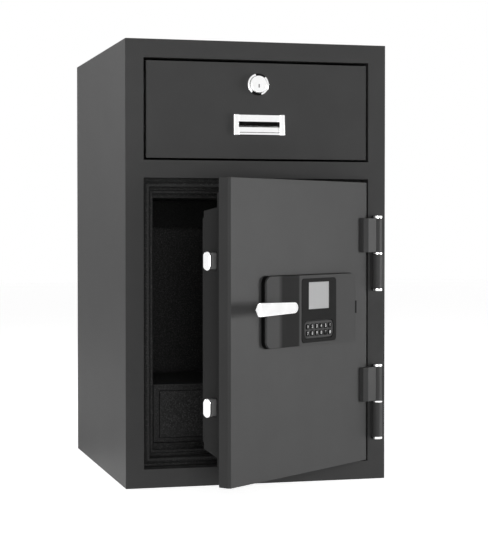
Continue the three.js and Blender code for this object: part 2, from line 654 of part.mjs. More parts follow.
function drawerPull() {
  const { x, half, low, high, proud, deep } = PULL;
  const mouth = new THREE.Shape();
  mouth.moveTo(-proud - 1, PULL_MOUTH.low);
  mouth.lineTo(0, PULL_MOUTH.low);
  mouth.quadraticCurveTo(PULL_MOUTH.back, PULL_MOUTH.low, PULL_MOUTH.back,
    PULL_MOUTH.low + PULL_MOUTH.rise);
  mouth.lineTo(PULL_MOUTH.back, PULL_MOUTH.roof);
  mouth.lineTo(1, PULL_MOUTH.roof);
  mouth.lineTo(1, PULL_MOUTH.high);
  mouth.lineTo(-proud - 1, PULL_MOUTH.high);
  return cut(block(x - half, x + half, -proud, deep, low, high),
    prismX(mouth, x - PULL_MOUTH.half, x + PULL_MOUTH.half, 10));
}

// ring profile in (radius, y), turned about the lock's axis
function lockCollar() {
  const { flange, flangeFront, body: outer, back } = KEY_LOCK;
  const inner = BARREL.radius + 0.35;
  const profile = [
    [inner, flangeFront], [flange - 1.5, flangeFront], [flange, flangeFront + 1.4], [flange, -GAP],
    [outer, -GAP], [outer, back], [inner, back], [inner, flangeFront],
  ].map(([r, y]) => new THREE.Vector2(r, y));
  return new THREE.LatheGeometry(profile, 40).translate(KEY_LOCK.x, 0, KEY_LOCK.z);
}

function lockBarrel() {
  const { radius, front, chamfer, stem } = BARREL;
  const profile = [
    [0, front], [radius - chamfer, front], [radius, front + chamfer], [radius, KEY_LOCK.back],
    [stem, KEY_LOCK.back], [stem, CAM.back + 3], [0, CAM.back + 3],
  ].map(([r, y]) => new THREE.Vector2(r, y));
  const barrel = new THREE.LatheGeometry(profile, 40).translate(KEY_LOCK.x, 0, KEY_LOCK.z);
  const slot = block(KEY_LOCK.x - 1.5, KEY_LOCK.x + 1.5, front - 1, BARREL.slotBack, KEY_LOCK.z - 6.5,
    KEY_LOCK.z + 2.5);
  return cut(barrel, slot);
}

function lockCam() {
  const { front, back, reach, half, hub: hubRadius, bore } = CAM;
  const arm = block(KEY_LOCK.x, KEY_LOCK.x + reach, front, back, KEY_LOCK.z - half, KEY_LOCK.z + half);
  const hub = barY(hubRadius, front, back, KEY_LOCK.x, KEY_LOCK.z);
  return cut(join(arm, hub), barY(bore, front - 1, back + 1, KEY_LOCK.x, KEY_LOCK.z, 24));
}

function buildDrawer() {
  const group = new THREE.Group();
  place(group, 'drawer_front', drawerFront(), paint);
  place(group, 'drawer_tray', drawerTray(), zincSteel);
  place(group, 'drawer_pull', drawerPull(), chrome);
  place(group, 'lock_collar', lockCollar(), chrome);
  place(group, 'lock_barrel', lockBarrel(), chrome);
  place(group, 'lock_cam', lockCam(), zincSteel);
  for (const [where, side] of [['right', 1], ['left', -1]]) {
    place(group, `slide_middle_${where}`, channelRail(side, SLIDE_MIDDLE), zincSteel);
    place(group, `slide_inner_${where}`, channelRail(side, SLIDE_INNER), zincSteel);
  }
  return group;
}

// ---------- inner locker ----------

function lockerDoor() {
  const { left, right, low, high } = LOCKER_MOUTH;
  const { front, sheet, deep, edge, lockSide } = LOCKER_DOOR;
  const panel = block(left + 1, right - 1, front, front + sheet, low + 1, high - 1);
  const stiffener = block(left + edge, right - lockSide, front + sheet - 0.1, front + deep, low + edge,
    high - edge);
  const middle = (low + high) / 2;
  return cut(join(panel, stiffener),
    barY(LOCKER_LOCK.radius + 0.4, front - 1, front + deep + 1, LOCKER_LOCK.x, middle));
}

function lockerLock() {
  const middle = (LOCKER_MOUTH.low + LOCKER_MOUTH.high) / 2;
  const { x, radius, front, back, tongueFront, tongueTall } = LOCKER_LOCK;
  const barrel = barY(radius, front, back, x, middle);
  const tongue = block(x - 5, x + 5, tongueFront, tongueFront + 2, middle, middle + tongueTall);
  const slot = block(x - 1, x + 1, front - 1, front + 4.5, middle - 4, middle + 4);
  return cut(join(barrel, tongue), slot);
}

function buildLocker(group) {
  place(group, 'locker_door', lockerDoor(), innerPaint);
  place(group, 'locker_lock', lockerLock(), chrome);
}

// ---------- assembly ----------

const safe = new THREE.Group();
safe.position.y = -DEPTH / 2;

const body = buildBody();
buildLocker(body);
safe.add(body);

// the outer group turns about the hinge line, and the inner one puts the closed door back in place
const swing = new THREE.Group();
swing.position.set(HINGE.x, HINGE.y, 0);
swing.rotation.z = DOOR_SWING;
const door = new THREE.Group();
door.position.set(-HINGE.x, -HINGE.y, 0);
swing.add(door);
safe.add(swing);
buildDoor(door);
buildHinges(body, door);

safe.add(buildDrawer());

const assembly = new THREE.Group();
assembly.add(safe);
assembly.updateMatrixWorld(true);

export default assembly;
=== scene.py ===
import json
import math

import bmesh
import bpy
from mathutils import Matrix, Vector


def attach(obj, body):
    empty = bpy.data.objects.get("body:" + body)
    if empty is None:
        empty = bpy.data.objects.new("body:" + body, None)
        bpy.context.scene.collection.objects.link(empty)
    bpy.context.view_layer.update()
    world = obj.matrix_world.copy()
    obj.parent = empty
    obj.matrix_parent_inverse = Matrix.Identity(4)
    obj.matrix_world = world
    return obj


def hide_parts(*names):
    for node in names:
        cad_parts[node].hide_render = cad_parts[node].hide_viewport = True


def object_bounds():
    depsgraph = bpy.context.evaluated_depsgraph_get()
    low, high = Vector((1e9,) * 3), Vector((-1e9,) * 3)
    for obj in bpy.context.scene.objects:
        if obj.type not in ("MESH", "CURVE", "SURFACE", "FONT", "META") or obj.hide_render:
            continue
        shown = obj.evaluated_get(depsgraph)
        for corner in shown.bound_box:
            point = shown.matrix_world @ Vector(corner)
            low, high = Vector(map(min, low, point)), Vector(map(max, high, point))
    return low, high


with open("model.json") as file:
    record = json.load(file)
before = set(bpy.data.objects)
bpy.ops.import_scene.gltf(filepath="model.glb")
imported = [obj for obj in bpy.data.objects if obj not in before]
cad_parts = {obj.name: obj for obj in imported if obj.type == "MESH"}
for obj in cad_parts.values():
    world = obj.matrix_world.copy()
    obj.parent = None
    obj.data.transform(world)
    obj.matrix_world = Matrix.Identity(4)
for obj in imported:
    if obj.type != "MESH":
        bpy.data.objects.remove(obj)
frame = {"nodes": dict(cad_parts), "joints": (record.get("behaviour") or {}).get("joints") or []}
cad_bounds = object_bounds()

# A deposit safe with its door ajar. Metres, in the CAD frame: +Z up, the door side faces -Y.
# Pieces that ride on the door are drawn as if it were closed and are then swung open with it.

MM = 0.001
GAP = 0.3 * MM  # between a piece and what stands around it
NODES = frame["nodes"]
JOINTS = {joint["name"]: joint for joint in frame["joints"]}
STILL = Matrix.Identity(4)

# ---------- places taken from the frame ----------

door_joint = JOINTS["door_hinge"]
HINGE = Vector(door_joint["pos_m"])
SWING = math.radians(-door_joint["range_deg"][0])
DOOR = Matrix.Translation(HINGE) @ Matrix.Rotation(SWING, 4, "Z") @ Matrix.Translation(-HINGE)
SHUT = DOOR.inverted()


class Box:
    """Lowest and highest corners of a CAD node, for a door node with the door shut."""

    def __init__(self, node, matrix=STILL):
        points = [matrix @ v.co for v in NODES[node].data.vertices]
        self.x0, self.y0, self.z0 = (min(p[i] for p in points) for i in range(3))
        self.x1, self.y1, self.z1 = (max(p[i] for p in points) for i in range(3))

    @property
    def x(self):
        return (self.x0 + self.x1) / 2

    @property
    def z(self):
        return (self.z0 + self.z1) / 2


def shut_box(node):
    return Box(node, SHUT)


FRONT = Box("front_frame").y0  # y of the body's front face
LEVER_PIVOT = SHUT @ Vector(JOINTS["lever_turn"]["pos_m"])
DRAWER_LOCK = Vector(JOINTS["drawer_lock_turn"]["pos_m"])

# ---------- materials ----------


def new_material(name, gloss=0.5):
    material = bpy.data.materials.new(name)
    material.use_nodes = True
    tree = material.node_tree
    shader = tree.nodes["Principled BSDF"]
    shader.inputs["Specular IOR Level"].default_value = gloss
    return material, tree, shader


def object_coordinates(tree, scale=(1.0, 1.0, 1.0)):
    coordinates = tree.nodes.new("ShaderNodeTexCoord")
    mapping = tree.nodes.new("ShaderNodeMapping")
    mapping.inputs["Scale"].default_value = scale
    tree.links.new(coordinates.outputs["Object"], mapping.inputs["Vector"])
    return mapping.outputs["Vector"]


def noise(tree, vector, scale, detail=2.0, roughness=0.5):
    """A noise of the given scale, in cycles per metre."""
    node = tree.nodes.new("ShaderNodeTexNoise")
    node.inputs["Scale"].default_value = scale
    node.inputs["Detail"].default_value = detail
    node.inputs["Roughness"].default_value = roughness
    tree.links.new(vector, node.inputs["Vector"])
    return node.outputs["Fac"]


def ramp(tree, fac, stops):
    node = tree.nodes.new("ShaderNodeValToRGB")
    elements = node.color_ramp.elements
    while len(elements) < len(stops):
        elements.new(0.5)
    for element, (place, value) in zip(elements, stops):
        element.position = place
        element.color = (*value, 1.0) if isinstance(value, tuple) else (value, value, value, 1.0)
    tree.links.new(fac, node.inputs["Fac"])
    return node.outputs["Color"]


def vary(tree, shader, socket, fac, stops):
    """Drives one socket of a shader through a ramp of fac."""
    tree.links.new(ramp(tree, fac, stops), shader.inputs[socket])


def bump(tree, height, shader, strength, distance):
    node = tree.nodes.new("ShaderNodeBump")
    node.inputs["Strength"].default_value = strength
    node.inputs["Distance"].default_value = distance
    tree.links.new(height, node.inputs["Height"])
    tree.links.new(node.outputs["Normal"], shader.inputs["Normal"])


def powder_coat(name, tone, grain=1500.0, roughness=0.42, relief=0.06 * MM, gloss=0.08):
    """Baked textured paint: a fine pebbled surface with faint mottling."""
    material, tree, shader = new_material(name, gloss)
    vector = object_coordinates(tree)
    cloud = noise(tree, vector, scale=9.0, detail=4.0, roughness=0.6)
    vary(tree, shader, "Base Color", cloud, [(0.3, tone * 0.95), (0.7, tone * 1.05)])
    pebbles = noise(tree, vector, scale=grain, roughness=0.6)
    vary(tree, shader, "Roughness", pebbles, [(0.3, roughness - 0.05), (0.7, roughness + 0.07)])
    bump(tree, pebbles, shader, strength=0.3, distance=relief)
    return material


def speckled_paint(name, tone):
    """Coarser, darker inner paint with fine lighter flecks."""
    material, tree, shader = new_material(name, gloss=0.08)
    vector = object_coordinates(tree)
    flecks = noise(tree, vector, scale=420.0, roughness=0.6)
    vary(tree, shader, "Base Color", flecks, [(0.38, tone * 0.55), (0.56, tone), (0.74, tone * 2.6)])
    vary(tree, shader, "Roughness", flecks, [(0.3, 0.39), (0.7, 0.55)])
    bump(tree, flecks, shader, strength=0.45, distance=0.25 * MM)
    return material


def plated(name, tone, roughness, streak=0.0):
    """Chrome or zinc plate; a streak draws the wear out along z, as on ground metal."""
    material, tree, shader = new_material(name)
    shader.inputs["Metallic"].default_value = 1.0
    vector = object_coordinates(tree, (1.0, 1.0, 0.04) if streak else (1.0, 1.0, 1.0))
    wear = noise(tree, vector, scale=900.0 if streak else 60.0, detail=3.0)
    vary(tree, shader, "Base Color", wear, [(0.25, tone * 0.96), (0.75, tone)])
    vary(tree, shader, "Roughness", wear, [(0.2, roughness - 0.03), (0.8, roughness + 0.04 + streak)])
    return material


def moulded(name, tone, roughness, strength=0.2, gloss=0.15):
    """Injection-moulded plastic or rubber with a fine spark-eroded grain."""
    material, tree, shader = new_material(name, gloss)
    vector = object_coordinates(tree)
    fine = noise(tree, vector, scale=900.0)
    soft = noise(tree, vector, scale=35.0)
    vary(tree, shader, "Base Color", soft, [(0.3, tone * 0.95), (0.7, tone * 1.05)])
    vary(tree, shader, "Roughness", fine, [(0.3, roughness - 0.04), (0.7, roughness + 0.06)])
    bump(tree, fine, shader, strength, distance=0.04 * MM)
    return material


def plastic_with_painted_shade(name, tone, dark, stops):
    """Plastic with a band of painted shade: it fades to dark across the door at its first two stops,
    and back at its last two.
    """
    material = moulded(name, tone, 0.5, gloss=0.02)
    tree = material.node_tree
    shader = tree.nodes["Principled BSDF"]
    coordinates = tree.nodes.new("ShaderNodeTexCoord")
    shut = tree.nodes.new("ShaderNodeMapping")
    shut.inputs["Location"].default_value = SHUT.translation
    shut.inputs["Rotation"].default_value = (0.0, 0.0, -SWING)
    tree.links.new(coordinates.outputs["Object"], shut.inputs["Vector"])
    split = tree.nodes.new("ShaderNodeSeparateXYZ")
    tree.links.new(shut.outputs["Vector"], split.inputs["Vector"])
    across = tree.nodes.new("ShaderNodeMapRange")
    across.inputs["From Min"].default_value = stops[0]
    across.inputs["From Max"].default_value = stops[-1]
    tree.links.new(split.outputs["X"], across.inputs["Value"])
    places = [(stop - stops[0]) / (stops[-1] - stops[0]) for stop in stops]
    shades = list(zip(places, (tone, dark, dark, tone)))
    vary(tree, shader, "Base Color", across.outputs["Result"], shades)
    return material


def cast_fill(name):
    """Fire-barrier casting: dull grey with lumps and pores."""
    material, tree, shader = new_material(name)
    vector = object_coordinates(tree)
    lumps = noise(tree, vector, scale=140.0, detail=5.0, roughness=0.65)
    vary(tree, shader, "Base Color", lumps, [(0.3, 0.03), (0.7, 0.06)])
    shader.inputs["Roughness"].default_value = 0.9
    bump(tree, lumps, shader, strength=0.5, distance=0.8 * MM)
    return material


def screen_glass(name):
    """Unlit display: pale grey film under a clear window."""
    material, tree, shader = new_material(name)
    vector = object_coordinates(tree)
    film = noise(tree, vector, scale=700.0, detail=1.0)
    vary(tree, shader, "Base Color", film, [(0.3, (0.23, 0.232, 0.234)), (0.7, (0.24, 0.242, 0.244))])
    vary(tree, shader, "Roughness", film, [(0.3, 0.34), (0.7, 0.4)])
    shader.inputs["Coat Weight"].default_value = 0.3
    shader.inputs["Coat Roughness"].default_value = 0.08
    return material


CASING = powder_coat("casing_paint", 0.056)
DOOR_PAINT = powder_coat("door_paint", 0.054)
INNER = speckled_paint("inner_paint", 0.034)
BACK_PAINT = powder_coat("door_back_paint", 0.031, grain=900.0, roughness=0.5)
FILL = cast_fill("barrier_fill")
CHROME = plated("chrome", 0.95, 0.07)
ZINC = plated("zinc_steel", 0.5, 0.32, streak=0.12)
SATIN = powder_coat("satin_steel", 0.35, roughness=0.35, relief=0.02 * MM, gloss=0.5)
# the cover's ramp is darker between these stops only by painted shade
COVER_SHADE = [shut_box("lock_panel").x0 + reach * MM for reach in (41, 56, 105, 109)]
PANEL = plastic_with_painted_shade("panel_plastic", 0.069, 0.02, COVER_SHADE)
# black base plastic, whose black also serves as a painted shadow line round the lock cover
SKIRT_AND_SHADOW = moulded("skirt_plastic_and_painted_shadow", 0.004, 0.5, gloss=0.05)
BEZEL = moulded("bezel_plastic", 0.009, 0.45, strength=0.1, gloss=0.03)
PAD = moulded("keypad_pad", 0.045, 0.45, gloss=0.06)
SCREEN = screen_glass("screen")
RUBBER = moulded("key_rubber", 0.002, 0.5, gloss=0.04)
PRINT = moulded("key_print", 0.5, 0.5, strength=0.05)
# near-black plastic laid where there would only be shade: painted shade for hollows and slots
PAINTED_SHADE = moulded("painted_shade_black", 0.002, 0.8)

# ---------- outlines ----------


def arc(cx, cy, radius, start, end, steps):
    """Points of an arc in degrees, both ends included."""
    turns = [math.radians(start + (end - start) * i / steps) for i in range(steps + 1)]
    return [(cx + radius * math.cos(turn), cy + radius * math.sin(turn)) for turn in turns]


def rounded(a0, a1, b0, b1, radius, steps=8):
    """Rectangle with round corners."""
    return (arc(a1 - radius, b0 + radius, radius, -90, 0, steps)
            + arc(a1 - radius, b1 - radius, radius, 0, 90, steps)
            + arc(a0 + radius, b1 - radius, radius, 90, 180, steps)
            + arc(a0 + radius, b0 + radius, radius, 180, 270, steps))


def rectangle(a0, a1, b0, b1):
    return [(a0, b0), (a1, b0), (a1, b1), (a0, b1)]


def circle(a, b, radius, steps=64):
    """Points of a full circle, the first not repeated at the end."""
    return arc(a, b, radius, 0, 360 - 360 / steps, steps - 1)


def shrink(outline, inset):
    """The outline moved inwards by inset, corner by corner."""
    if not inset:
        return outline
    sharpest = 0.4  # keeps the points of narrow corners from shooting past them
    area = sum(a0 * b1 - a1 * b0 for (a0, b0), (a1, b1) in zip(outline, outline[1:] + outline[:1]))
    side = 1 if area > 0 else -1
    moved = []
    count = len(outline)
    for k in range(count):
        before, here, after = (Vector(outline[(k + d) % count]) for d in (-1, 0, 1))
        first, second = (here - before).normalized(), (after - here).normalized()
        normal = Vector((-(first.y + second.y), first.x + second.x)) * side
        normal.normalize()
        straight = Vector((-first.y, first.x)) * side
        moved.append(tuple(here + normal * inset / max(normal.dot(straight), sharpest)))
    return moved


# ---------- meshes ----------

# how the two numbers of an outline and the distance along the axis become x, y and z
PLACES = {
    "X": lambda a, b, d: (d, a, b),
    "Y": lambda a, b, d: (a, d, b),
    "Z": lambda a, b, d: (a, b, d),
}


def link(name, bm):
    """Cleans a new mesh and puts it in the scene as a piece."""
    bmesh.ops.remove_doubles(bm, verts=bm.verts, dist=1e-7)
    bmesh.ops.dissolve_degenerate(bm, dist=1e-8, edges=bm.edges)
    bmesh.ops.recalc_face_normals(bm, faces=bm.faces)
    mesh = bpy.data.meshes.new(name)
    bm.to_mesh(mesh)
    bm.free()
    piece = bpy.data.objects.new(name, mesh)
    bpy.context.scene.collection.objects.link(piece)
    return piece


def loft(name, rings, closed=False):
    """Skin over rings of equally many points, with caps unless the rings close on themselves."""
    bm = bmesh.new()
    made = [[bm.verts.new(point) for point in ring] for ring in rings]
    pairs = list(zip(made, made[1:]))
    if closed:
        pairs.append((made[-1], made[0]))
    count = len(rings[0])
    for near, far in pairs:
        for k in range(count):
            after = (k + 1) % count
            bm.faces.new((near[k], near[after], far[after], far[k]))
    if not closed:
        bm.faces.new(made[0])
        bm.faces.new(list(reversed(made[-1])))
    return link(name, bm)


def prism(name, outline, start, end, axis):
    """An outline drawn out along an axis from start to end."""
    place = PLACES[axis]
    return loft(name, [[place(a, b, d) for a, b in outline] for d in (start, end)])


def pillow(name, outline, front, back, edge, steps=5):
    """An (x, z) outline from front to back, whose front edge is rounded by edge."""
    rings = []
    for step in range(steps + 1):
        turn = math.pi / 2 * step / steps
        ring = shrink(outline, edge * (1 - math.sin(turn)))
        rings.append([(x, front + edge * (1 - math.cos(turn)), z) for x, z in ring])
    rings.append([(x, back, z) for x, z in outline])
    return loft(name, rings)


LATHE_SEGMENTS = 72


def lathe(name, profile, centre, axis="Y"):
    """Turns a closed (radius, height) profile about an axis through centre."""
    place = PLACES[axis]
    rings = []
    for a, b in circle(0.0, 0.0, 1.0, LATHE_SEGMENTS):
        rings.append([Vector(centre) + Vector(place(a * r, b * r, height)) for r, height in profile])
    return loft(name, rings, closed=True)


def carve(piece, tool, operation="DIFFERENCE"):
    """Cuts a piece with a throwaway tool, or keeps only what both share, and applies the result."""
    modifier = piece.modifiers.new("carve", "BOOLEAN")
    modifier.operation = operation
    modifier.solver = "EXACT"
    modifier.object = tool
    bpy.context.view_layer.update()
    graph = bpy.context.evaluated_depsgraph_get()
    mesh = bpy.data.meshes.new_from_object(piece.evaluated_get(graph))
    piece.modifiers.remove(modifier)
    piece.data = mesh
    bpy.data.objects.remove(tool)
    return piece


def soften(piece, width, segments=3, angle=30.0, sharp=40.0):
    """Rounds the edges steeper than angle, or only marks the sharp ones if width is 0."""
    mesh = piece.data
    mesh.polygons.foreach_set("use_smooth", [True] * len(mesh.polygons))
    if width:
        modifier = piece.modifiers.new("bevel", "BEVEL")
        modifier.width = width
        modifier.segments = segments
        modifier.limit_method = "ANGLE"
        modifier.angle_limit = math.radians(angle)
    else:
        mesh.set_sharp_from_angle(angle=math.radians(sharp))
    shading = piece.modifiers.new("shading", "WEIGHTED_NORMAL")
    shading.keep_sharp = True
    return piece


def show(piece, material, body, matrix=STILL, nodes=()):
    """Gives a finished piece its material, its place and its body."""
    piece.data.transform(matrix)
    piece.data.materials.clear()
    piece.data.materials.append(material)
    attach(piece, body)
    if nodes:
        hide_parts(*nodes)
    return piece


# ---------- CAD nodes that stay: better materials and softened edges ----------

SHARP = 0.6 * MM
SOFT = 1.2 * MM
HIDDEN_STEEL = ("drawer_baffle", "slide_outer_right", "slide_outer_left", "slide_middle_right",
                "slide_middle_left", "slide_inner_right", "slide_inner_left", "drawer_tray",
                "lock_cam", "lever_spindle", "bolt_bar", "bolt_guide_upper", "bolt_guide_lower",
                "solenoid", "solenoid_plunger")


def dress(node, material, edge=0.0):
    """Paints a CAD node, merges its flat triangles and rounds its edges by edge."""
    target = NODES[node]
    target.data.materials.clear()
    target.data.materials.append(material)
    weld = target.modifiers.new("weld", "WELD")
    weld.merge_threshold = 1e-6
    flatten = target.modifiers.new("flatten", "DECIMATE")
    flatten.decimate_type = "DISSOLVE"
    flatten.angle_limit = math.radians(0.5)
    soften(target, edge, 2)


def dress_frame():
    """Paints and softens every CAD node that no piece replaces."""
    for node in ("outer_shell", "front_frame"):
        dress(node, CASING, SHARP)
    for node in ("inner_liner", "locker_body", "locker_door"):
        dress(node, INNER, SHARP)
    for node in ("drawer_compartment", "chute_baffle"):
        dress(node, INNER)
    for node in ("door_step", "door_pan", "door_back_cover"):
        dress(node, BACK_PAINT, SOFT)
    dress("barrier_fill", FILL)
    for node in HIDDEN_STEEL:
        dress(node, ZINC)
    dress("locker_lock", CHROME)


# ---------- jamb ----------

STEP_WIDE = 19 * MM  # the jamb step's face, from the doorway to its inner edge


def sweep_frame(name, box, profile):
    """Sweeps a closed (inset, y) profile round a rectangular opening, with mitred corners."""
    rings = []
    for inset, y in profile:
        corners = rectangle(box.x0 + inset, box.x1 - inset, box.z0 + inset, box.z1 - inset)
        rings.append([(x, y, z) for x, z in corners])
    return loft(name, rings, closed=True)


def doorway():
    """The doorway's box: the inner edge of the jamb step, moved outwards by the step's width."""
    box = Box("jamb_step")
    points = [v.co for v in NODES["jamb_step"].data.vertices]
    inner = [p for p in points if box.x0 + MM < p.x < box.x1 - MM and box.z0 + MM < p.z < box.z1 - MM]
    box.x0, box.x1 = min(p.x for p in inner) - STEP_WIDE, max(p.x for p in inner) + STEP_WIDE
    box.z0, box.z1 = min(p.z for p in inner) - STEP_WIDE, max(p.z for p in inner) + STEP_WIDE
    return box


def make_rim(name, node, outer, start, inner, groove, deep, rise):
    """Pressed step from outer to inner, as insets from the doorway.

    A sealing groove runs from start, and the face beyond it rises to a rolled inner edge.
    """
    box = Box(node)
    roll = 2.5 * MM
    draft = 0.4 * MM
    first = start + groove
    last = inner - roll
    slope = [(first + (last - first) * i / 5, box.y0 + rise * (1 - i / 5) ** 2) for i in range(5)]
    rolled = [(last + a, box.y0 + roll + b) for a, b in arc(0, 0, roll, -90, 0, 5)]
    trough = [(start, box.y0), (start, box.y0 + deep), (first - draft, box.y0 + deep)]
    profile = [(outer, box.y0)] + trough + slope + rolled + [(inner, box.y1), (outer, box.y1)]
    rim = sweep_frame(name, doorway(), profile)
    soften(rim, 0.0, sharp=35.0)
    show(rim, INNER, "safe_body", nodes=[node])


def make_jamb():
    spare = 0.2 * MM
    make_rim("jamb_rim", "jamb_step", outer=-10 * MM, start=spare, inner=STEP_WIDE,
             groove=7 * MM, deep=16 * MM, rise=5 * MM)
    make_rim("bolt_rim", "bolt_lip", outer=12 * MM, start=STEP_WIDE + spare, inner=32 * MM,
             groove=5.5 * MM, deep=4.8 * MM, rise=2.5 * MM)


# ---------- door plate and drawer front ----------

LOCK_NECK = 20 * MM  # radius of the drawer lock behind its collar


def make_door_face():
    """Thick plate, chamfered along its free edge, with the bore for the lever's spindle."""
    box = shut_box("door_plate")
    wide, deep = 3.5 * MM, 5.5 * MM  # the chamfer at the free edge
    near_hinge = 2 * MM
    bore_radius = 6.6 * MM
    outline = [(box.x0 + wide, box.y0), (box.x1 - near_hinge, box.y0), (box.x1, box.y0 + near_hinge),
               (box.x1, box.y1), (box.x0, box.y1), (box.x0, box.y0 + deep)]
    plate = prism("door_face", outline, box.z0, box.z1, "Z")
    bore = circle(LEVER_PIVOT.x, LEVER_PIVOT.z, bore_radius, 48)
    carve(plate, prism("bore", bore, box.y0 - MM, box.y1 + MM, "Y"))
    soften(plate, 0.5 * MM)
    show(plate, DOOR_PAINT, "door", DOOR, ["door_plate"])


def make_drawer_panel():
    """Flush drawer front with its recess for the pull and its hole for the lock."""
    box = Box("drawer_front")
    pull = Box("drawer_pull")
    hole_radius = LOCK_NECK + GAP
    panel = prism("drawer_panel", rectangle(box.x0, box.x1, box.z0, box.z1), box.y0, box.y1, "Y")
    recess = rectangle(pull.x0 - GAP, pull.x1 + GAP, pull.z0 - GAP, pull.z1 + GAP)
    carve(panel, prism("recess", recess, box.y0 - MM, pull.y1 + GAP, "Y"))
    hole = circle(DRAWER_LOCK.x, DRAWER_LOCK.z, hole_radius)
    carve(panel, prism("hole", hole, box.y0 - MM, box.y1 + MM, "Y"))
    soften(panel, 0.5 * MM)
    show(panel, CASING, "drawer", nodes=["drawer_front"])


# ---------- drawer pull and key lock ----------

# the scoop's curve, in millimetres behind the body's front and above the pull's sill
SCOOP = ((-2.0, -0.8), (0.3, 0.6), (1.2, 3.0), (2.4, 7.0), (4.2, 11.5), (6.8, 16.0), (10.0, 20.5),
         (13.4, 26.5))
LOCK_NOTCHES = {"upper": (46, 106), "lower": (230, 288)}  # degrees about the lock


def make_drawer_pull():
    """Cast recessed pull: end cheeks, a lipped upper bar and a lower bar before a curved scoop."""
    box = Box("drawer_pull")
    cheek = 11.1 * MM
    setback = 0.9 * MM  # of the bars behind the cheeks
    left, right = box.x0 + cheek, box.x1 - cheek
    bars = rectangle(left, right, box.z0 + setback, box.z1 - setback)
    body = prism("drawer_pull_bars", bars, box.y0 + setback, box.y1, "Y")
    for side, x0 in (("left", box.x0), ("right", right)):
        outline = rounded(x0, x0 + cheek, box.z0, box.z1, 1.2 * MM, 4)
        end = prism(f"drawer_pull_cheek_{side}", outline, box.y0, box.y1, "Y")
        soften(end, 0.9 * MM, 4)
        show(end, CHROME, "drawer", nodes=["drawer_pull"])
    sill, brow, roof = (box.z0 + rise * MM for rise in (6.3, 29, 39))
    bar_drop = 1.2 * MM  # the lower bar slopes down to its front
    scoop_back = FRONT + 14.5 * MM
    mouth = [(box.y0 - MM, sill - bar_drop)]
    mouth += [(FRONT + back * MM, sill + rise * MM) for back, rise in SCOOP]
    mouth += [(scoop_back, roof), (FRONT + MM, roof), (FRONT + MM, brow), (box.y0 - MM, brow)]
    carve(body, prism("mouth", mouth, box.x0, box.x1, "X"))
    soften(body, 0.6 * MM, 3, 28.0)
    show(body, CHROME, "drawer", nodes=["drawer_pull"])
    shade_front, shade_back = FRONT + 1.1 * MM, FRONT + 13 * MM  # a black block of painted shade in the hollow above the brow
    hollow = rectangle(left, right, brow + 0.6 * MM, roof)
    shade_block = prism("drawer_pull_painted_shade", hollow, shade_front, shade_back, "Y")
    soften(shade_block, 0.0)
    show(shade_block, PAINTED_SHADE, "drawer")


def wedge(name, centre, inner, outer, start, end, y0, y1):
    """Sector of a ring about centre, from angle start to end in degrees."""
    x, z = centre
    outline = arc(x, z, outer, start, end, 12) + arc(x, z, inner, end, start, 12)
    return prism(name, outline, y0, y1, "Y")


def make_collar():
    """Chrome ring around the drawer lock, with two notches in its rim, each darkened by a black plate
    of painted shade.
    """
    x, z = DRAWER_LOCK.x, DRAWER_LOCK.z
    box = Box("lock_collar")
    outer = (box.x1 - box.x0) / 2
    inner = 19.25 * MM
    chamfer, lip = 0.4 * MM, 1.4 * MM
    rest = FRONT - GAP
    shade_top, well_floor = FRONT - 0.9 * MM, FRONT - 0.05 * MM
    profile = [(inner, box.y0 + chamfer), (inner + chamfer, box.y0)]
    profile += [(outer - lip + a, box.y0 + lip + b) for a, b in arc(0, 0, lip, -90, 0, 5)]
    profile += [(outer, rest), (LOCK_NECK, rest), (LOCK_NECK, box.y1), (inner, box.y1)]
    ring = lathe("key_lock_collar", profile, (x, 0.0, z))
    for side, (start, end) in LOCK_NOTCHES.items():
        notch = wedge("notch", (x, z), inner - 0.25 * MM, outer + MM, start, end, box.y0 - MM, FRONT)
        carve(ring, notch)
        # a black plate under each notch paints the shade of a deep notch
        well = wedge(f"key_lock_notch_painted_shade_{side}", (x, z), inner + 0.05 * MM, outer - 0.1 * MM, start, end,
                     shade_top, well_floor)
        show(well, PAINTED_SHADE, "drawer")
    soften(ring, 0.25 * MM, 2)
    show(ring, CHROME, "drawer", nodes=["lock_collar"])


def make_plug():
    """Turning plug of the drawer lock, with a key slot and a spindle behind."""
    x, z = DRAWER_LOCK.x, DRAWER_LOCK.z
    box = Box("lock_barrel")
    radius, spindle, dome = 18.9 * MM, 4 * MM, 3 * MM
    back = Box("lock_collar").y1
    profile = [(0.0, box.y0)] + arc(radius - dome, box.y0 + dome, dome, -90, 0, 6)
    profile += [(radius, back), (spindle, back), (spindle, box.y1), (0.0, box.y1)]
    plug = lathe("key_lock_plug", profile, (x, 0.0, z))
    half_wide, below, above = 1.1 * MM, 7.5 * MM, 0.5 * MM  # the key slot about the lock's centre
    slot = rounded(x - half_wide, x + half_wide, z - below, z + above, MM, 5)
    slot_floor = box.y0 + 7 * MM
    carve(plug, prism("slot", slot, box.y0 - MM, slot_floor, "Y"))
    soften(plug, 0.25 * MM, 2)
    show(plug, CHROME, "drawer_lock", nodes=["lock_barrel"])
    # a black plate at the slot's floor paints the shade inside the key slot
    inside = shrink(slot, 0.1 * MM)
    floor = prism("key_lock_slot_painted_shade", inside, slot_floor - 3 * MM, slot_floor - 0.1 * MM, "Y")
    show(floor, PAINTED_SHADE, "drawer_lock")


# ---------- lever, bolts and hinges ----------


def lever_section(x, half, front, back, z, inset=0.0):
    """Section of the grip at x: flat in front, with sides that slope to a rounded ridge behind."""
    half = max(half - inset, 0.05 * MM)
    near, far = front + inset, back - inset
    corner = min(1.6 * MM, half * 0.6)
    ridge = min(1.6 * MM, half * 0.5)
    flank = near + corner + 0.4 * MM
    upper = [(near + corner - b, z + half - corner + a) for a, b in arc(0, 0, corner, 0, 90, 4)]
    lower = [(a, 2 * z - b) for a, b in reversed(upper)]
    behind = [(far - ridge + a, z + b) for a, b in arc(0, 0, ridge, -50, 50, 8)]
    points = upper + lower + [(flank, z - half)] + behind + [(flank, z + half)]
    return [(x, a, b) for a, b in points]


